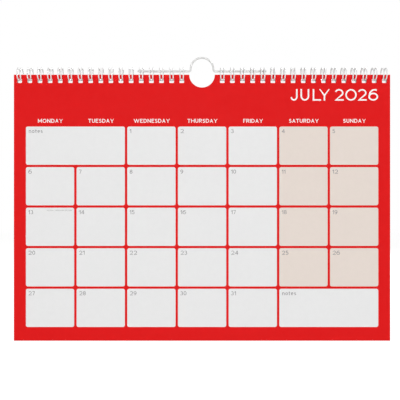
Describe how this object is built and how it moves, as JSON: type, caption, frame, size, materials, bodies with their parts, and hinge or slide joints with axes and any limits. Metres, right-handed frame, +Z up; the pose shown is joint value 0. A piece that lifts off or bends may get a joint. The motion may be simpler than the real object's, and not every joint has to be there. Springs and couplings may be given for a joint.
{
  "type": "wall calendar",
  "caption": "Landscape month-to-view wall calendar: printed leaves and a card back on twin-loop wires, hung from a nail by a bent wire hanger.",
  "frame": {"origin": "the nail seat, at mid-width inside the top of the hanger's hump", "axes": "+X to the right as the month is read, the printed front faces -Y, +Z up"},
  "size_m": [0.297, 0.0109, 0.2248],
  "materials": {
    "hanger_wire": "gloss",
    "binding_wire": "satin",
    "printed_leaf": "matte",
    "day_print": "matte",
    "weekend_print": "matte",
    "board_card": "matte"
  },
  "bodies": {
    "hanger": {"hanger": "hanger_wire"},
    "binding": {"wire_left": "binding_wire", "wire_right": "binding_wire"},
    "leaves": {"month_leaves": "printed_leaf", "day_fields": "day_print", "weekend_fields": "weekend_print"},
    "board": {"back_board": "board_card"}
  },
  "joints": [
    {"name": "calendar_swing", "type": "hinge", "parent": "hanger", "child": "binding", "pos_m": [0, 0, -0.01], "axis": [1, 0, 0], "continuous": true},
    {"name": "leaves_turn", "type": "hinge", "parent": "binding", "child": "leaves", "pos_m": [0, -0.00212, -0.01272], "axis": [-1, 0, 0], "range_deg": [0, 155]},
    {"name": "board_turn", "type": "hinge", "parent": "binding", "child": "board", "pos_m": [0, -0.00212, -0.01272], "axis": [1, 0, 0], "range_deg": [0, 33]}
  ]
}
